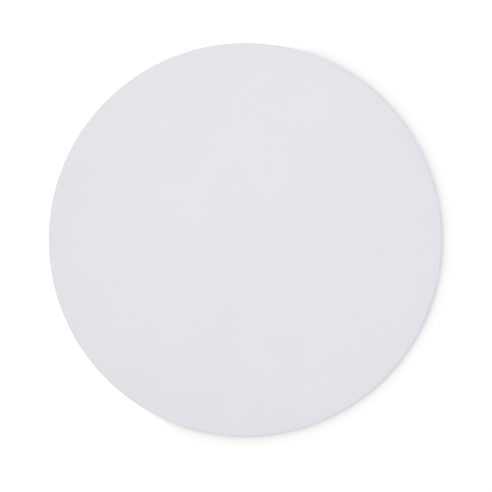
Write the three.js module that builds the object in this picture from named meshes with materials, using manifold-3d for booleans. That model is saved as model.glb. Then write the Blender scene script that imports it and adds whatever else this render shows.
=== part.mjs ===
// A round cloth-faced mouse pad lying flat on its grip sheet.
// Millimetres, +Z up, with the origin at the middle of the underside.
// It is a laminate of five layers cut out by one round blade. From the underside up:
// grip sheet, grip bonding film, foam core, cloth bonding film, surface cloth.

import * as THREE from 'three';
import { mergeVertices } from 'three/addons/utils/BufferGeometryUtils.js';
import Module from 'manifold-3d';

// Outline
const padDiameter = 210;
const outlineSides = 120;
const edgeSteps = 4;

// Surface cloth: a fine knitted polyester, drawn down at its rim by the blade
const clothThickness = 0.45;
const clothRollWidth = 0.7;
const clothRollShare = 0.66;

// Bonding films: hot-melt films that stop a little short of the cut
const clothFilmThickness = 0.1;
const gripFilmThickness = 0.1;
const filmInset = 0.12;

// Foam core: soft closed-cell rubber, with a side that springs back behind the cut
const coreThickness = 1.75;
const coreWaist = 0.15;
const coreSideSteps = 6;

// Grip sheet: a solid web with parallel ribs below it, which stand on the desk
const gripWeb = 0.35;
const ribHeight = 0.25;
const ribWidth = 2;
const grooveWidth = 1;
const grooveLean = 0.12;
const gripEdgeRound = 0.2;
const cutOverrun = 1;

// Sizes that follow from those
const padRadius = padDiameter / 2;
const clothRollDrop = clothThickness * clothRollShare;
const filmRadius = padRadius - filmInset;
const gripThickness = gripWeb + ribHeight;
const ribPitch = ribWidth + grooveWidth;

const wasm = await Module();
wasm.setup();

// A quarter of an ellipse about a centre in the profile, from one angle to another
function edgeArc(centreX, centreY, radiusX, radiusY, from, to) {
  const points = [];
  for (let step = 0; step <= edgeSteps; step++) {
    const angle = from + ((to - from) * step) / edgeSteps;
    const x = centreX + radiusX * Math.cos(angle);
    const y = centreY + radiusY * Math.sin(angle);
    points.push(new THREE.Vector2(x, y));
  }
  return points;
}

// A round layer from the points of its rim, listed from its lower face to its upper face
function roundLayer(rim, thickness) {
  const profile = [new THREE.Vector2(0, 0), ...rim, new THREE.Vector2(0, thickness)];
  const geometry = new THREE.LatheGeometry(profile, outlineSides);
  return geometry.rotateX(Math.PI / 2);
}

function solidFrom(geometry) {
  const bare = geometry.clone();
  bare.deleteAttribute('normal');
  bare.deleteAttribute('uv');
  const merged = mergeVertices(bare);
  const vertProperties = merged.attributes.position.array;
  const triVerts = new Uint32Array(merged.index.array);
  return new wasm.Manifold(new wasm.Mesh({ numProp: 3, vertProperties, triVerts }));
}

function geometryFrom(solid) {
  const { vertProperties, triVerts } = solid.getMesh();
  const geometry = new THREE.BufferGeometry();
  geometry.setAttribute('position', new THREE.BufferAttribute(vertProperties, 3));
  geometry.setIndex(new THREE.BufferAttribute(triVerts, 1));
  geometry.computeVertexNormals();
  return geometry;
}

// The cloth's upper edge rolls down to the cut
function surfaceCloth() {
  const rim = [
    new THREE.Vector2(padRadius, 0),
    ...edgeArc(
      padRadius - clothRollWidth, clothThickness - clothRollDrop,
      clothRollWidth, clothRollDrop, 0, Math.PI / 2,
    ),
  ];
  const material = new THREE.MeshStandardMaterial({ color: '#e5e4e9', roughness: 0.92, metalness: 0 });
  const mesh = new THREE.Mesh(roundLayer(rim, clothThickness), material);
  mesh.name = 'surface_cloth';
  return mesh;
}

function bondingFilm(name, thickness) {
  const rim = [new THREE.Vector2(filmRadius, 0), new THREE.Vector2(filmRadius, thickness)];
  const material = new THREE.MeshStandardMaterial({ color: '#dcdad2', roughness: 0.5, metalness: 0 });
  const mesh = new THREE.Mesh(roundLayer(rim, thickness), material);
  mesh.name = name;
  return mesh;
}

// The foam's side is hollow between its two bonded edges
function foamCore() {
  const rim = [];
  for (let step = 0; step <= coreSideSteps; step++) {
    const share = step / coreSideSteps;
    const x = padRadius - coreWaist * Math.sin(Math.PI * share);
    rim.push(new THREE.Vector2(x, coreThickness * share));
  }
  const material = new THREE.MeshStandardMaterial({ color: '#dad9dd', roughness: 0.95, metalness: 0 });
  const mesh = new THREE.Mesh(roundLayer(rim, coreThickness), material);
  mesh.name = 'foam_core';
  return mesh;
}

// One straight groove, wider at its mouth, long enough to cross the whole sheet
function grooveCutter() {
  const mouth = grooveWidth / 2;
  const floor = mouth - grooveLean;
  const section = new THREE.Shape([
    new THREE.Vector2(-mouth, -cutOverrun),
    new THREE.Vector2(mouth, -cutOverrun),
    new THREE.Vector2(mouth, 0),
    new THREE.Vector2(floor, ribHeight),
    new THREE.Vector2(-floor, ribHeight),
    new THREE.Vector2(-mouth, 0),
  ]);
  const length = padDiameter + 2 * cutOverrun;
  const geometry = new THREE.ExtrudeGeometry(section, { depth: length, bevelEnabled: false });
  return solidFrom(geometry.translate(0, 0, -length / 2).rotateX(Math.PI / 2));
}

// Grooves leave parallel ribs, the middle rib across the centre of the pad. The last
// groove on each side leaves a whole rib between it and the rim.
function gripSheet() {
  const rim = [
    ...edgeArc(
      padRadius - gripEdgeRound, gripEdgeRound,
      gripEdgeRound, gripEdgeRound, -Math.PI / 2, 0,
    ),
    new THREE.Vector2(padRadius, gripThickness),
  ];
  const groove = grooveCutter();
  const lastEdge = padRadius - gripEdgeRound - ribWidth;
  let sheet = solidFrom(roundLayer(rim, gripThickness));
  for (let x = ribPitch / 2; x + grooveWidth / 2 <= lastEdge; x += ribPitch) {
    sheet = sheet.subtract(groove.translate([x, 0, 0]));
    sheet = sheet.subtract(groove.translate([-x, 0, 0]));
  }
  const material = new THREE.MeshStandardMaterial({ color: '#c9c9ce', roughness: 0.8, metalness: 0 });
  const mesh = new THREE.Mesh(geometryFrom(sheet), material);
  mesh.name = 'grip_sheet';
  return mesh;
}

// The layers are laid face to face, from the underside up
const stack = [
  [gripSheet(), gripThickness],
  [bondingFilm('grip_bonding_film', gripFilmThickness), gripFilmThickness],
  [foamCore(), coreThickness],
  [bondingFilm('cloth_bonding_film', clothFilmThickness), clothFilmThickness],
  [surfaceCloth(), clothThickness],
];
const mousePad = new THREE.Group();
let height = 0;
for (const [layer, thickness] of stack) {
  layer.position.z = height;
  mousePad.add(layer);
  height += thickness;
}

export default mousePad;
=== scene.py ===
import math

import bpy
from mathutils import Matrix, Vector


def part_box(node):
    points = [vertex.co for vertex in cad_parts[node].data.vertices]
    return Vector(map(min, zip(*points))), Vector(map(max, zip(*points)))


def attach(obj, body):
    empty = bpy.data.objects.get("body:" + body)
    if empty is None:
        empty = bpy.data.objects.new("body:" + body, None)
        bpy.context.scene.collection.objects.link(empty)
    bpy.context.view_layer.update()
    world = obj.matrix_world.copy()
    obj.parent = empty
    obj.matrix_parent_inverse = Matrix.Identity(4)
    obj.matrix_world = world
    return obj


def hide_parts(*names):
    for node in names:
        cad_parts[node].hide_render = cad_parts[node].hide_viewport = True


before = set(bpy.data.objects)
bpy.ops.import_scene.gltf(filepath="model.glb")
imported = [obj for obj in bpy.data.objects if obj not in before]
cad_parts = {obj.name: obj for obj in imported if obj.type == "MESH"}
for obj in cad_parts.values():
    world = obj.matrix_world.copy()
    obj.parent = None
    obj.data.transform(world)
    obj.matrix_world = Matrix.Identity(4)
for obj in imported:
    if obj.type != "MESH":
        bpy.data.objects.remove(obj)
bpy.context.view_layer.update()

bl_info = {
    "name": "Round cloth mouse pad",
    "version": (1, 0, 0),
    "blender": (4, 5, 0),
    "location": "3D View > Sidebar > Mouse Pad",
    "description": "Models a die-cut mouse pad of cloth, foam and ribbed rubber, layer by layer",
    "category": "Object",
}

TURN = 2 * math.pi
MM = 0.001

# Vertices nearer to each other than this are merged
MERGE_DISTANCE = 0.002 * MM

# What is nearer to a level than this lies on it
ON_LEVEL = MM / 100

# The second wave of the cut is this much longer than the first
SECOND_WAVE = 1.4

# A piece's own map runs from 0 to 1, with thin margins between its parts
MAP_MIDDLE = Vector((0.5, 0.5))
MAP_HALF = 0.495
CORNER_MIDDLE = Vector((0.08, 0.08))
CORNER_HALF = 0.07


def layer_of(node):
    """The radius, the lower face and the upper face of a round layer, in metres."""
    low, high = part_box(node)
    return (high.x - low.x) / 2, low.z, high.z


PAD_RADIUS, _, PAD_TOP = layer_of("surface_cloth")


# Sizes and colours that a user would change

def length(name, description, default):
    """A length property, in metres."""
    return bpy.props.FloatProperty(
        name=name, description=description, default=default,
        subtype="DISTANCE", unit="LENGTH", precision=6,
    )


def share(name, description, default):
    """A share between nothing and the whole."""
    return bpy.props.FloatProperty(
        name=name, description=description, default=default, min=0.0, max=1.0, subtype="FACTOR")


def angle(name, description, degrees):
    """An angle property, given in degrees."""
    return bpy.props.FloatProperty(
        name=name, description=description, default=math.radians(degrees),
        subtype="ANGLE", unit="ROTATION")


def number(name, description, default):
    """A plain number, such as a strength or a count of pixels."""
    return bpy.props.FloatProperty(name=name, description=description, default=default, min=0.0)


def count(name, description, default):
    """A whole number of steps or sides."""
    return bpy.props.IntProperty(name=name, description=description, default=default, min=2)


def colour(name, description, default):
    """A colour property, in linear light."""
    return bpy.props.FloatVectorProperty(
        name=name, description=description, default=default,
        size=3, min=0.0, max=1.0, subtype="COLOR",
    )


class PadCut(bpy.types.PropertyGroup):
    """How the round blade leaves the rim of the pad."""
    rim_sides: count("Rim sides", "Flat sides round the rim of each layer", 768)
    wander: length("Cut wander", "How far the cut strays from a true circle", 0.06 * MM)
    wander_size: length("Wander size", "Length of the waves in the cut", 14 * MM)


class PadCloth(bpy.types.PropertyGroup):
    """The knitted cloth on top."""
    roll_width: length("Roll width", "How far in from the cut the cloth turns down", 0.8 * MM)
    roll_share: share("Roll share", "Share of the cloth's thickness that turns down", 0.9)
    roll_power: number(
        "Roll power", "How late the cloth turns down, from 1 for a straight slope", 1.5)
    roll_steps: count("Roll steps", "Steps down the rolled edge of the cloth", 10)
    ring_gap: length("Ring gap", "Distance between the rings of the cloth's face", 3 * MM)
    sink: length("Face sink", "Depth of the shallow hollows in the cloth's face", 0.05 * MM)
    sink_size: length("Sink size", "Distance across those hollows", 26 * MM)
    stitch_width: length("Stitch width", "Width of one column of stitches", 0.62 * MM)
    stitch_height: length("Stitch height", "Height of one stitch in its column", 0.44 * MM)
    stitch_relief: length("Stitch relief", "Depth between the yarns", 0.05 * MM)
    sway: length("Stitch sway", "How far the columns stray from straight", 0.25 * MM)
    # Painted light: this paints the cloth paler towards the back right, as a falloff of the light
    # would make it
    painted_light_drift: share("Shade drift", "How much the dye pales towards the back right", 0.036)
    rim_grey: share("Rim greying", "How much the cloth greys towards its rim", 0.086)


class PadFilm(bpy.types.PropertyGroup):
    """The hot-melt films between the layers."""
    bulge: length("Film bulge", "How far the melted rim of a film swells", 0.05 * MM)
    flow: length("Film flow", "How unevenly the rim of a film has flowed", 0.08 * MM)
    flow_size: length("Flow size", "Length of the waves in a film's rim", 2.5 * MM)


class PadFoam(bpy.types.PropertyGroup):
    """The foam body's side."""
    sides: count("Foam sides", "Flat sides round the foam's side", 3072)
    rows: count("Foam rows", "Rows of faces up the foam's side", 14)
    waist: length("Foam waist", "How far the foam springs back behind the cut", 0.15 * MM)
    pit_depth: length("Pit depth", "Depth of the torn cells in the foam's side", 0.09 * MM)
    pit_size: length("Pit size", "Distance across a torn cell", 0.55 * MM)
    cell_size: length("Cell size", "Distance across a whole cell", 0.3 * MM)


class PadTread(bpy.types.PropertyGroup):
    """The ribs of the grip sheet, which stand on the desk."""
    rib_width: length("Rib width", "Width of each rib", 2 * MM)
    groove_width: length("Groove width", "Width of a groove at its mouth", 1 * MM)
    groove_depth: length("Groove depth", "Depth of each groove", 0.25 * MM)
    groove_lean: length("Groove lean", "How far each wall of a groove leans in", 0.12 * MM)
    rib_round: length("Rib round", "Radius of the ribs' edges", 0.07 * MM)
    edge_round: length("Edge round", "Radius of the sheet's lower edge", 0.2 * MM)
    imprint_pitch: length(
        "Imprint pitch", "Pitch of the weave that the press cloth left", 0.7 * MM)
    imprint_relief: length("Imprint relief", "Depth of that weave", 0.05 * MM)


class PadColours(bpy.types.PropertyGroup):
    """The colours of the layers."""
    cloth: colour("Cloth", "Brightened polyester, a cool white", (0.8275, 0.8295, 0.862))
    blush: colour(
        "Cloth blush", "The cloth's colour towards the front right", (0.8245, 0.796, 0.859))
    film: colour("Film", "Hot-melt film, a warm white", (0.66, 0.64, 0.58))
    foam: colour("Foam", "Cut foam rubber", (0.72, 0.715, 0.74))
    grip: colour("Grip", "Grip sheet, a pale grey", (0.50, 0.50, 0.525))


class PadStudio(bpy.types.PropertyGroup):
    """The light, the floor and the camera."""
    left_light: share("Left light", "Share of the light from the soft light on the left", 0.10)
    back_light: share("Back light", "Share of the light from the soft light behind the pad", 0.09)
    left_turn: angle("Left light turn", "Where the left light stands, turned from +X", 204)
    back_turn: angle("Back light turn", "Where the back light stands, turned from +X", 80)
    lamp_height: angle("Lamp height", "Height of both lights above the floor", 45)
    lamp_spread: angle("Lamp spread", "How wide each light looks from the pad", 60)
    lit_glow: number("Lit glow", "White added to the seen floor on the lit side", 0.29)
    lit_turn: angle("Lit side turn", "Where the lit side lies, turned from +X", 160)
    lit_start: length(
        "Lit start", "Where the lit side's glow starts, towards that side", -5.5 * MM)
    lit_end: length(
        "Lit end", "Where the lit side's glow is full, towards that side", 34 * MM)
    clear_glow: number(
        "Clear glow", "White added to the seen floor all round, clear of the pad", 0.03)
    clear_start: length(
        "Clear start", "Where the clear floor's glow starts, out from the rim", 2.5 * MM)
    clear_end: length(
        "Clear end", "Where the clear floor's glow is full, out from the rim", 12 * MM)
    floor_side: length("Floor side", "Side of the square floor", 6.0)
    lens: number("Lens", "Focal length of the camera, in millimetres", 150.0)
    picture_side: number("Picture side", "Side of the square picture, in pixels", 492.0)
    centre_x: number("Centre x", "Where the pad's centre shows, in pixels from the left", 245.4)
    centre_y: number("Centre y", "Where the pad's centre shows, in pixels from the top", 239.8)
    radius_px: number("Radius", "How large the pad's radius shows, in pixels", 196.8)


GROUPS = {
    "pad_cut": PadCut,
    "pad_cloth": PadCloth,
    "pad_film": PadFilm,
    "pad_foam": PadFoam,
    "pad_tread": PadTread,
    "pad_colours": PadColours,
    "pad_studio": PadStudio,
}


# Shader graphs written as sums

class Signal:
    """A shader socket that Python's own operators work on."""

    def __init__(self, graph, socket):
        self.graph = graph
        self.socket = socket

    def maths(self, operation, *others):
        values = dict(enumerate((self, *others)))
        return self.graph.signal("ShaderNodeMath", {"operation": operation}, values)

    def __add__(self, other):
        return self.maths("ADD", other)

    def __sub__(self, other):
        return self.maths("SUBTRACT", other)

    def __rsub__(self, other):
        return self.graph.signal("ShaderNodeMath", {"operation": "SUBTRACT"}, {0: other, 1: self})

    def __mul__(self, other):
        return self.maths("MULTIPLY", other)

    def __truediv__(self, other):
        return self.maths("DIVIDE", other)

    def __pow__(self, other):
        return self.maths("POWER", other)

    __radd__ = __add__
    __rmul__ = __mul__

    def __abs__(self):
        return self.maths("ABSOLUTE")

    def fraction(self):
        return self.maths("FRACT")

    def wave(self):
        """The sine of this many whole turns."""
        return (self * TURN).maths("SINE")

    def least(self, other):
        return self.maths("MINIMUM", other)

    def smooth(self, low, high):
        """Rises from 0 at low to 1 at high, evenly at both ends."""
        settings = {"interpolation_type": "SMOOTHSTEP"}
        values = {"Value": self, "From Min": low, "From Max": high}
        return self.graph.signal("ShaderNodeMapRange", settings, values)


class Graph:
    """The nodes of one material or world."""

    def __init__(self, tree):
        self.tree = tree
        tree.nodes.clear()

    def add(self, kind, settings=None, values=None):
        """Adds a node, makes its settings, and then fills or links its sockets."""
        node = self.tree.nodes.new(kind)
        for name, setting in (settings or {}).items():
            setattr(node, name, setting)
        for name, value in (values or {}).items():
            if isinstance(value, Signal):
                self.tree.links.new(value.socket, node.inputs[name])
            else:
                node.inputs[name].default_value = value
        return node

    def signal(self, kind, settings=None, values=None, output=0):
        return Signal(self, self.add(kind, settings, values).outputs[output])

    def place(self):
        """The place in the object's own coordinates, in metres."""
        return self.signal("ShaderNodeTexCoord", output="Object")

    def parts(self, place):
        """The x, y and z of a place."""
        node = self.add("ShaderNodeSeparateXYZ", values={0: place})
        return [Signal(self, part) for part in node.outputs]

    def noise(self, place, size, detail=2.0, roughness=0.5):
        """Soft noise between about 0 and 1, with features of this size in metres."""
        values = {"Vector": place, "Scale": 1 / size, "Detail": detail, "Roughness": roughness}
        return self.signal("ShaderNodeTexNoise", values=values, output="Fac")

    def cells(self, place, size):
        """The distance to the nearest of scattered points, with cells of this size in metres."""
        values = {"Vector": place, "Scale": 1 / size}
        return self.signal("ShaderNodeTexVoronoi", values=values, output="Distance")

    def mix(self, factor, first, second):
        """A colour that goes from the first to the second as the factor rises."""
        node = self.add("ShaderNodeMix", {"data_type": "RGBA"}, {0: factor, 6: first, 7: second})
        return Signal(self, node.outputs[2])

    def bump(self, height, relief, normal=None):
        """A normal from a height between 0 and 1 whose full relief is in metres."""
        values = {"Height": height, "Distance": relief}
        if normal:
            values["Normal"] = normal
        return self.signal("ShaderNodeBump", values=values)


def opaque(rgb, shade=1.0):
    """A colour made lighter or darker, with its alpha."""
    return (*(min(1.0, part * shade) for part in rgb), 1.0)


def new_material(name):
    material = bpy.data.materials.new(name)
    material.use_nodes = True
    return material, Graph(material.node_tree)


def finish_material(graph, surface):
    graph.add("ShaderNodeOutputMaterial", values={"Surface": surface})


def cloth_material(cloth, colours):
    """Fine knitted polyester: columns of small leaning stitches of slightly uneven yarn.
    The gaps between the stitches are painted darker, as painted shade. The cloth is painted paler
    towards the back right, as painted light, and it is pinker towards the front right.
    Its last half millimetre at the rim is painted darker, as painted shade on the rolled edge."""
    stray_size, yarn_size, bar_size, cloud_size = 9 * MM, 0.16 * MM, 1.9 * MM, 32 * MM
    knit_gap_shade_share, yarn_share, bar_share, cloud_share = 0.6, 0.2, 0.06, 0.14
    leg_roundness, stitch_dip, yarn_relief, greying_power = 0.7, 0.45, 0.02 * MM, 4
    darkest, palest, rim_shade_tone, rim_shade_strength = 0.84, 1.12, 0.8, 0.5
    cut_start, cut_end = PAD_RADIUS - 0.6 * MM, PAD_RADIUS - 0.1 * MM
    material, graph = new_material("knitted_cloth")
    place = graph.place()
    x, y, _ = graph.parts(place)
    stray = graph.noise(place, stray_size) - 0.5
    column = (x + stray * (2 * cloth.sway)) / cloth.stitch_width
    row = (y + stray * cloth.sway) / cloth.stitch_height
    across = column.fraction()
    lean = abs(across - 0.5)
    leg = abs(across.wave()) ** leg_roundness
    stitch = (row + lean).wave() * 0.5 + 0.5
    knit = leg * (stitch * stitch_dip + (1 - stitch_dip))
    yarn = graph.noise(place, yarn_size, detail=3.0, roughness=0.6)
    bars = graph.noise(graph.signal("ShaderNodeCombineXYZ", values={0: x}), bar_size)
    cloud = graph.noise(place, cloud_size, detail=3.0)
    # Painted shade: the knit's low parts, between the yarns, are painted darker; the yarn noise
    # adds random tone
    yarn_tone_and_gap_shade = knit * knit_gap_shade_share + yarn * yarn_share
    dye = bars * bar_share + cloud * cloud_share
    # Painted light: the cloth is painted paler towards the back right, standing for a falloff of
    # the light
    drift = (x + y) * (cloth.painted_light_drift / PAD_RADIUS)
    reach = (x * x + y * y) ** 0.5
    greying = (reach / PAD_RADIUS) ** greying_power * cloth.rim_grey
    tone = yarn_tone_and_gap_shade + dye + drift - greying
    front_right = (x - y) * (1 / (2 * math.sqrt(2) * PAD_RADIUS)) + 0.5
    dark, light = (
        graph.mix(front_right, opaque(colours.cloth, shade), opaque(colours.blush, shade))
        for shade in (darkest, palest))
    # Painted shade: the last half millimetre of the cloth is painted darker, standing for the
    # shade on its rolled edge
    cut = reach.smooth(cut_start, cut_end)
    painted_rim_shade = opaque(colours.cloth, rim_shade_tone)
    colour = graph.mix(cut * rim_shade_strength, graph.mix(tone, dark, light), painted_rim_shade)
    fine = graph.bump(yarn, yarn_relief)
    surface = graph.signal("ShaderNodeBsdfPrincipled", values={
        "Base Color": colour,
        "Roughness": 0.82 + yarn * 0.12,
        "Specular IOR Level": 0.25,
        "Sheen Weight": 0.12,
        "Sheen Roughness": 0.5,
        "Normal": graph.bump(knit, cloth.stitch_relief, fine),
    })
    finish_material(graph, surface)
    return material


def film_material(colours):
    """Hot-melt film: a waxy edge, smoother than the layers it joins."""
    smear_size, smear_relief = 1.4 * MM, 0.05 * MM
    darkest, palest = 0.9, 1.08
    material, graph = new_material("bonding_film")
    smear = graph.noise(graph.place(), smear_size, detail=3.0)
    colour = graph.mix(smear, opaque(colours.film, darkest), opaque(colours.film, palest))
    surface = graph.signal("ShaderNodeBsdfPrincipled", values={
        "Base Color": colour,
        "Roughness": 0.35 + smear * 0.2,
        "Normal": graph.bump(smear, smear_relief),
    })
    finish_material(graph, surface)
    return material


def foam_material(foam, colours):
    """Cut closed-cell foam rubber: small open pits, painted darker than the cell walls round them
    as painted shade, with some random tone.
    """
    stray_size, small_cell_size, cloud_size = 0.5 * MM, foam.cell_size * 0.4, 7 * MM
    pit_share, grain_share, stray_share, cell_relief = 0.6, 0.25, 0.15, 0.12 * MM
    darkest, palest, pit_shade_share = 0.72, 1.08, 0.7
    material, graph = new_material("cut_foam")
    place = graph.place()
    stray = graph.noise(place, stray_size)
    pits = graph.cells(place, foam.cell_size).smooth(0.1, 0.62)
    grains = graph.cells(place, small_cell_size).smooth(0.1, 0.7)
    height = pits * pit_share + grains * grain_share + stray * stray_share
    cloud = graph.noise(place, cloud_size, detail=3.0)
    # Painted shade: the colour is darker where the side is lower, in the pits, with random cloud
    # tone mixed in
    tone = height * pit_shade_share + cloud * (1 - pit_shade_share)
    surface = graph.signal("ShaderNodeBsdfPrincipled", values={
        "Base Color": graph.mix(tone, opaque(colours.foam, darkest), opaque(colours.foam, palest)),
        "Roughness": 0.95 - height * 0.12,
        "Specular IOR Level": 0.2,
        "Normal": graph.bump(height, cell_relief),
    })
    finish_material(graph, surface)
    return material


def grip_material(tread, colours):
    """Pressed rubber: it keeps the weave of the press cloth, whose hollows are painted darker as
    painted shade, and its ribs are rubbed smoother.
    """
    stray_size, stray_turns = 5 * MM, 0.4
    speckle_size, cloud_size, scuff_size = 0.14 * MM, 18 * MM, 1.1 * MM
    cloud_share, speckle_share, imprint_and_hollow_shade_share = 0.4, 0.25, 0.35
    darkest, palest, scuff_shade, scuff_strength = 0.84, 1.12, 1.25, 0.35
    cut_start, cut_end = PAD_RADIUS - 0.25 * MM, PAD_RADIUS - 0.1 * MM
    material, graph = new_material("grip_rubber")
    place = graph.place()
    x, y, z = graph.parts(place)
    stray = graph.noise(place, stray_size) * stray_turns
    warp = (x / tread.imprint_pitch + stray).wave()
    weft = (y / tread.imprint_pitch + stray).wave()
    cut = ((x * x + y * y) ** 0.5).smooth(cut_start, cut_end)
    imprint = warp * weft * (0.5 - cut * 0.5) + 0.5
    speckle = graph.noise(place, speckle_size)
    cloud = graph.noise(place, cloud_size, detail=4.0)
    crown = 1.0 - z.smooth(0.0, tread.groove_depth / 2)
    rubbed = graph.noise(place, scuff_size, detail=5.0, roughness=0.7).smooth(0.5, 0.75)
    scuff = rubbed * crown
    # Painted shade: the hollows of the weave imprint are painted darker, beside the random cloud
    # and speckle tone
    tone = cloud * cloud_share + speckle * speckle_share + imprint * imprint_and_hollow_shade_share
    rubber = graph.mix(tone, opaque(colours.grip, darkest), opaque(colours.grip, palest))
    scuffed = opaque(colours.grip, scuff_shade)
    height = imprint * (1.0 - crown * 0.35) + speckle * speckle_share
    surface = graph.signal("ShaderNodeBsdfPrincipled", values={
        "Base Color": graph.mix(scuff * scuff_strength, rubber, scuffed),
        "Roughness": 0.7 - crown * 0.14 + speckle * 0.12 + scuff * 0.15,
        "Specular IOR Level": 0.4,
        "Normal": graph.bump(height, tread.imprint_relief),
    })
    finish_material(graph, surface)
    return material


# Modelling steps

def only(piece):
    """Makes one object the only selected one."""
    bpy.ops.object.select_all(action="DESELECT")
    piece.select_set(True)
    bpy.context.view_layer.objects.active = piece


def drawn_line(name, points):
    """Starts a mesh from one point and extrudes it along the others. It stays in edit mode."""
    bpy.ops.object.select_all(action="DESELECT")
    bpy.ops.mesh.primitive_plane_add(size=MM, location=(0, 0, 0))
    piece = bpy.context.active_object
    piece.name = piece.data.name = name
    bpy.ops.object.mode_set(mode="EDIT")
    bpy.ops.mesh.select_all(action="SELECT")
    bpy.ops.mesh.merge(type="CENTER")
    bpy.ops.transform.translate(value=points[0])
    for start, end in zip(points, points[1:]):
        step = Vector(end) - Vector(start)
        bpy.ops.mesh.extrude_region_move(TRANSFORM_OT_translate={"value": step})
    return piece


def close_shell():
    """Merges what meets, caps what is left open, turns the faces outwards and leaves edit mode."""
    bpy.ops.mesh.select_all(action="SELECT")
    bpy.ops.mesh.remove_doubles(threshold=MERGE_DISTANCE)
    bpy.ops.mesh.fill_holes(sides=0)
    bpy.ops.mesh.select_all(action="SELECT")
    bpy.ops.mesh.normals_make_consistent(inside=False)
    bpy.ops.object.mode_set(mode="OBJECT")


def turned(name, section, sides):
    """A closed round layer from its half section. Ends that don't lie on the axis are capped.
    One slice is spun, and then doubled until it goes all the way round."""
    doublings = 5
    slices = 2 ** doublings
    piece = drawn_line(name, [(radius, 0, height) for radius, height in section])
    bpy.ops.mesh.select_all(action="SELECT")
    bpy.ops.mesh.spin(steps=sides // slices, angle=TURN / slices, center=(0, 0, 0), axis=(0, 0, 1))
    for doubling in range(doublings):
        bpy.ops.mesh.select_all(action="SELECT")
        bpy.ops.mesh.duplicate()
        bpy.ops.transform.rotate(
            value=TURN / slices * 2 ** doubling, orient_axis="Z", center_override=(0, 0, 0))
    close_shell()
    return piece


def grouped(piece, name, inside):
    """Puts the vertices whose place is inside into a new vertex group."""
    only(piece)
    bpy.ops.object.mode_set(mode="EDIT")
    bpy.ops.mesh.select_all(action="DESELECT")
    bpy.ops.object.mode_set(mode="OBJECT")
    for vertex in piece.data.vertices:
        vertex.select = inside(vertex.co)
    bpy.ops.object.mode_set(mode="EDIT")
    bpy.ops.object.vertex_group_assign_new()
    bpy.ops.object.mode_set(mode="OBJECT")
    piece.vertex_groups.active.name = name
    return name


def apply_modifier(piece, modifier):
    only(piece)
    bpy.ops.object.modifier_apply(modifier=modifier.name)


def roughen(piece, group, size, depth, direction="NORMAL", middle=0.5):
    """Moves the vertices of a group by soft noise with features of this size."""
    texture = bpy.data.textures.new(f"{piece.name}_{group}", "CLOUDS")
    texture.noise_scale = size
    modifier = piece.modifiers.new(group, "DISPLACE")
    modifier.texture = texture
    modifier.texture_coords = "GLOBAL"
    modifier.vertex_group = group
    modifier.strength = depth
    modifier.mid_level = middle
    modifier.direction = direction
    apply_modifier(piece, modifier)


def at_rim(place):
    """Whether a place lies in the outermost half millimetre."""
    return place.xy.length > PAD_RADIUS - 0.5 * MM


def let_cut_wander(piece, cut):
    """Lets the rim stray from a true circle, alike in every layer, as one cut does."""
    rim = grouped(piece, "rim", at_rim)
    roughen(piece, rim, cut.wander_size, cut.wander, "X")
    roughen(piece, rim, cut.wander_size * SECOND_WAVE, cut.wander, "Y")


def smooth_by_angle(piece, degrees):
    only(piece)
    bpy.ops.object.shade_smooth_by_angle(angle=math.radians(degrees))


def bake_map(piece, place_on_map):
    """The piece's own map, named OFBake, for the piece's patterns. A place lies between 0 and 1.
    """
    layer = piece.data.uv_layers.new(name="OFBake")
    vertices = piece.data.vertices
    for face in piece.data.polygons:
        for corner, vertex in zip(face.loop_indices, face.vertices):
            layer.data[corner].uv = place_on_map(vertices[vertex].co, face)


def map_disc(piece, radius, thickness, is_hidden, depth):
    """Maps a disc with its edge unrolled outwards, and its hidden face small in a corner."""
    scale = MAP_HALF / (radius + thickness)

    def place_on_map(place, face):
        flat_place = place.xy
        if is_hidden(face):
            return CORNER_MIDDLE + flat_place * (CORNER_HALF / radius)
        reach = flat_place.length
        stretch = (reach + depth(place)) / reach if reach > MM else 1.0
        return MAP_MIDDLE + flat_place * (stretch * scale)

    bake_map(piece, place_on_map)


def dress(piece, material, node):
    """Gives a finished piece its material and its place in the frame."""
    piece.data.materials.clear()
    piece.data.materials.append(material)
    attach(piece, "root")
    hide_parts(node)


def arc(centre, radii, start, end, steps):
    """Points round part of an ellipse in the section."""
    points = []
    for step in range(steps + 1):
        turn = start + (end - start) * step / steps
        out, up = radii[0] * math.cos(turn), radii[1] * math.sin(turn)
        points.append((centre[0] + out, centre[1] + up))
    return points


# One operator for each piece

class PAD_OT_cloth(bpy.types.Operator):
    """Turn the knitted cloth facing with its rolled edge."""
    bl_idname = "pad.cloth"
    bl_label = "Cloth Facing"

    def execute(self, context):
        cloth = context.scene.pad_cloth
        radius, low, high = layer_of("surface_cloth")
        drop = (high - low) * cloth.roll_share
        flat = radius - cloth.roll_width
        section = [(0, low), (radius, low)]
        for step in range(cloth.roll_steps, 0, -1):
            out = step / cloth.roll_steps
            section.append((flat + cloth.roll_width * out, high - drop * out ** cloth.roll_power))
        rings = round(flat / cloth.ring_gap)
        section += [(flat * ring / rings, high) for ring in range(rings, -1, -1)]
        piece = turned("cloth_facing", section, context.scene.pad_cut.rim_sides)
        let_cut_wander(piece, context.scene.pad_cut)
        face = grouped(piece, "face", lambda place: place.z > low + (high - low) / 3)
        roughen(piece, face, cloth.sink_size, cloth.sink, "Z", middle=0.8)
        smooth_by_angle(piece, 50)
        map_disc(
            piece, radius, high - low,
            is_hidden=lambda face: face.center.z < low + ON_LEVEL,
            depth=lambda place: high - place.z)
        material = cloth_material(cloth, context.scene.pad_colours)
        dress(piece, material, "surface_cloth")
        return {"FINISHED"}


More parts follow.
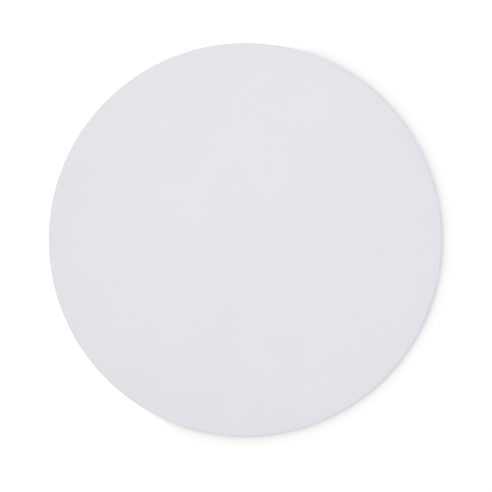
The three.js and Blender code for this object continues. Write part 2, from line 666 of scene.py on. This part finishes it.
class PAD_OT_films(bpy.types.Operator):
    """Turn the two hot-melt films, whose rims flow a little unevenly."""
    bl_idname = "pad.films"
    bl_label = "Bonding Films"

    def execute(self, context):
        film = context.scene.pad_film
        films = {"cloth_film": "cloth_bonding_film", "grip_film": "grip_bonding_film"}
        material = film_material(context.scene.pad_colours)
        for name, node in films.items():
            radius, low, high = layer_of(node)
            middle = (low + high) / 2
            swell = (film.bulge, middle - low)
            rim = arc((radius, middle), swell, -math.pi / 2, math.pi / 2, 4)
            piece = turned(name, [(0, low), *rim, (0, high)], context.scene.pad_cut.rim_sides)
            let_cut_wander(piece, context.scene.pad_cut)
            flow = grouped(
                piece, "flow",
                lambda place: at_rim(place) and abs(place.z - middle) < ON_LEVEL)
            roughen(piece, flow, film.flow_size, film.flow, middle=0.8)
            smooth_by_angle(piece, 50)
            dress(piece, material, node)
        return {"FINISHED"}


class PAD_OT_foam(bpy.types.Operator):
    """Turn the foam body, with a side that is drawn in and torn open by the cut."""
    bl_idname = "pad.foam"
    bl_label = "Foam Body"

    def map_side(self, piece, radius, low):
        """Maps the side in level strips, and the two bonded faces small above them."""
        strip_turn = TURN / 16
        strip_start, strip_rise = Vector((0.01, 0.006)), 0.054
        scale = 0.98 / (strip_turn * radius)
        upper_middle, lower_middle, face_half = Vector((0.1, 0.93)), Vector((0.3, 0.93)), 0.06

        def place_on_map(place, face):
            if abs(face.normal.z) > 0.9:
                middle = upper_middle if face.normal.z > 0 else lower_middle
                return middle + place.xy * (face_half / radius)
            face_turn = math.atan2(face.center.y, face.center.x) % TURN
            strip = int(face_turn / strip_turn)
            past_face = math.remainder(math.atan2(place.y, place.x) - face_turn, TURN)
            along = (face_turn + past_face - strip * strip_turn) * radius * scale
            up = strip * strip_rise + (place.z - low) * scale
            return strip_start + Vector((along, up))

        bake_map(piece, place_on_map)

    def execute(self, context):
        foam = context.scene.pad_foam
        radius, low, high = layer_of("foam_core")
        side = []
        for row in range(foam.rows + 1):
            up = row / foam.rows
            side.append((radius - foam.waist * math.sin(math.pi * up), low + (high - low) * up))
        piece = turned("foam_body", [(0, low), *side, (0, high)], foam.sides)
        let_cut_wander(piece, context.scene.pad_cut)
        edge = 0.02 * MM

        def between_edges(place):
            return at_rim(place) and low + edge < place.z < high - edge

        pits = grouped(piece, "pits", between_edges)
        roughen(piece, pits, foam.pit_size, foam.pit_depth, middle=0.6)
        smooth_by_angle(piece, 60)
        self.map_side(piece, radius, low)
        dress(piece, foam_material(foam, context.scene.pad_colours), "foam_core")
        return {"FINISHED"}


class PAD_OT_grip(bpy.types.Operator):
    """Turn the grip sheet and cut its parallel grooves."""
    bl_idname = "pad.grip"
    bl_label = "Ribbed Grip Sheet"

    def groove_section(self, tread):
        """Half of a groove's section, from its middle out to its mouth, both corners rounded."""
        mouth = tread.groove_width / 2
        slope = math.atan2(tread.groove_depth, tread.groove_lean)
        reach = tread.rib_round * math.tan(slope / 2)
        foot = mouth - tread.groove_lean
        round_size = (tread.rib_round, tread.rib_round)
        floor = arc(
            (foot - reach, tread.groove_depth - tread.rib_round), round_size,
            math.pi / 2, math.pi / 2 - slope, 3)
        crown = arc(
            (mouth + reach, tread.rib_round), round_size, math.pi * 1.5 - slope, math.pi * 1.5, 3)
        return floor + crown

    def groove_cutters(self, tread, radius, z):
        """One long groove, repeated across the sheet at the ribs' pitch."""
        overrun = 1 * MM
        pitch = tread.rib_width + tread.groove_width
        last = radius - tread.edge_round - tread.rib_width - tread.groove_width / 2
        pairs = math.floor(last / pitch + 0.5)
        half = self.groove_section(tread)
        half.append((half[-1][0], -overrun))
        outline = half + [(-x, height) for x, height in reversed(half)]
        start = -(pairs - 0.5) * pitch
        points = [(start + x, -radius - overrun, z + height) for x, height in outline]
        cutter = drawn_line("groove_cutters", points)
        bpy.ops.mesh.select_all(action="SELECT")
        bpy.ops.mesh.edge_face_add()
        along = {"value": (0, 2 * (radius + overrun), 0)}
        bpy.ops.mesh.extrude_region_move(TRANSFORM_OT_translate=along)
        close_shell()
        repeat = cutter.modifiers.new("repeat", "ARRAY")
        repeat.count = 2 * pairs
        repeat.use_relative_offset = False
        repeat.use_constant_offset = True
        repeat.constant_offset_displace = (pitch, 0, 0)
        apply_modifier(cutter, repeat)
        return cutter

    def execute(self, context):
        tread = context.scene.pad_tread
        radius, low, high = layer_of("grip_sheet")
        bend = tread.edge_round
        edge = arc((radius - bend, low + bend), (bend, bend), -math.pi / 2, 0, 5)
        piece = turned("ribbed_grip", [*edge, (radius, high)], context.scene.pad_cut.rim_sides)
        let_cut_wander(piece, context.scene.pad_cut)
        cutter = self.groove_cutters(tread, radius, low)
        grooves = piece.modifiers.new("grooves", "BOOLEAN")
        grooves.operation = "DIFFERENCE"
        grooves.solver = "EXACT"
        grooves.object = cutter
        apply_modifier(piece, grooves)
        bpy.data.objects.remove(cutter)
        bpy.ops.object.mode_set(mode="EDIT")
        close_shell()
        smooth_by_angle(piece, 35)
        flat_faces_first = piece.modifiers.new("flat_faces_first", "WEIGHTED_NORMAL")
        flat_faces_first.keep_sharp = True
        apply_modifier(piece, flat_faces_first)
        map_disc(
            piece, radius, high - low,
            is_hidden=lambda face: face.normal.z > 0.99 and face.center.z > high - ON_LEVEL,
            depth=lambda place: place.z - low if place.xy.length > radius - bend else 0.0)
        dress(piece, grip_material(tread, context.scene.pad_colours), "grip_sheet")
        return {"FINISHED"}


class PAD_OT_stage(bpy.types.Operator):
    """Lay the pale floor, light it softly and put the camera straight above."""
    bl_idname = "pad.stage"
    bl_label = "Floor, Light and Camera"
    white = opaque((1.0, 1.0, 1.0))
    floor_paint = opaque((0.8, 0.8, 0.8))

    def seen(self, graph):
        """1 where the camera looks, straight or by gloss or glass, and 0 for light on the pad."""
        path = graph.add("ShaderNodeLightPath").outputs
        rays = ("Is Camera Ray", "Is Glossy Ray", "Is Transmission Ray")
        camera, glossy, clear = (Signal(graph, path[ray]) for ray in rays)
        return (camera + glossy + clear).least(1.0)

    def make_floor(self, studio):
        """A grey floor that is seen as white. White is added where the pad's shadow is faint."""
        bpy.ops.object.select_all(action="DESELECT")
        bpy.ops.mesh.primitive_plane_add(size=studio.floor_side, location=(0, 0, 0))
        floor = bpy.context.active_object
        floor.name = floor.data.name = "floor"
        material, graph = new_material("pale_floor")
        x, y, _ = graph.parts(graph.place())
        towards = x * math.cos(studio.lit_turn) + y * math.sin(studio.lit_turn)
        lit_side = towards.smooth(studio.lit_start, studio.lit_end)
        reach = (x * x + y * y) ** 0.5 - PAD_RADIUS
        clear = reach.smooth(studio.clear_start, studio.clear_end)
        glow = lit_side * studio.lit_glow + clear * studio.clear_glow
        seen = self.seen(graph)
        paint = graph.mix(seen, self.floor_paint, self.white)
        painted = graph.signal("ShaderNodeBsdfDiffuse", values={"Color": paint})
        added = graph.signal("ShaderNodeEmission", values={"Strength": seen * glow})
        finish_material(graph, graph.signal("ShaderNodeAddShader", values={0: painted, 1: added}))
        floor.data.materials.append(material)

    def make_sky(self, strength):
        """An even sky, which is white where it is seen."""
        world = bpy.data.worlds.new("studio")
        bpy.context.scene.world = world
        world.use_nodes = True
        graph = Graph(world.node_tree)
        seen = self.seen(graph)
        background = graph.signal("ShaderNodeBackground", values={
            "Color": self.white, "Strength": seen * (1.0 - strength) + strength})
        graph.add("ShaderNodeOutputWorld", values={"Surface": background})

    def make_lamp(self, name, share, turn, studio):
        """A soft lamp far away, which gives a level surface this share of the light."""
        bpy.ops.object.light_add(type="SUN", location=(0, 0, 1))
        lamp = bpy.context.active_object
        lamp.name = name
        lamp.data.energy = share * math.pi / math.sin(studio.lamp_height)
        lamp.data.angle = studio.lamp_spread
        flat, high = math.cos(studio.lamp_height), math.sin(studio.lamp_height)
        towards = Vector((flat * math.cos(turn), flat * math.sin(turn), high))
        lamp.rotation_euler = towards.to_track_quat("Z", "Y").to_euler()

    def make_camera(self, studio):
        """Places the camera straight above, so that the pad fills the same part of the picture."""
        bpy.ops.object.camera_add(location=(0, 0, 1))
        camera = bpy.context.active_object
        camera.name = "camera"
        camera.data.lens = studio.lens
        per_metre = studio.radius_px / PAD_RADIUS
        distance = studio.picture_side / per_metre * studio.lens / camera.data.sensor_width
        middle = studio.picture_side / 2
        camera.location = (
            (middle - studio.centre_x) / per_metre,
            (studio.centre_y - middle) / per_metre,
            PAD_TOP + distance,
        )
        camera.rotation_euler = (0, 0, 0)
        bpy.context.scene.camera = camera

    def execute(self, context):
        studio = context.scene.pad_studio
        self.make_floor(studio)
        self.make_sky(1.0 - studio.left_light - studio.back_light)
        self.make_lamp("left_light", studio.left_light, studio.left_turn, studio)
        self.make_lamp("back_light", studio.back_light, studio.back_turn, studio)
        self.make_camera(studio)
        context.scene.view_settings.view_transform = "Standard"
        return {"FINISHED"}


OPERATORS = (PAD_OT_cloth, PAD_OT_films, PAD_OT_foam, PAD_OT_grip, PAD_OT_stage)


class PAD_PT_panel(bpy.types.Panel):
    """Lists the pieces of the pad and their sizes."""
    bl_idname = "PAD_PT_panel"
    bl_label = "Mouse Pad"
    bl_space_type = "VIEW_3D"
    bl_region_type = "UI"
    bl_category = "Mouse Pad"

    def draw(self, context):
        for operator in OPERATORS:
            self.layout.operator(operator.bl_idname)
        for name, group in GROUPS.items():
            box = self.layout.box()
            for value in group.__annotations__:
                box.prop(getattr(context.scene, name), value)


def register():
    for part in (*GROUPS.values(), *OPERATORS, PAD_PT_panel):
        bpy.utils.register_class(part)
    for name, group in GROUPS.items():
        setattr(bpy.types.Scene, name, bpy.props.PointerProperty(type=group))


def unregister():
    for name in GROUPS:
        delattr(bpy.types.Scene, name)
    for part in reversed((*GROUPS.values(), *OPERATORS, PAD_PT_panel)):
        bpy.utils.unregister_class(part)


def main():
    register()
    bpy.ops.pad.stage()
    bpy.ops.pad.cloth()
    bpy.ops.pad.films()
    bpy.ops.pad.foam()
    bpy.ops.pad.grip()


if __name__ == "__main__":
    main()
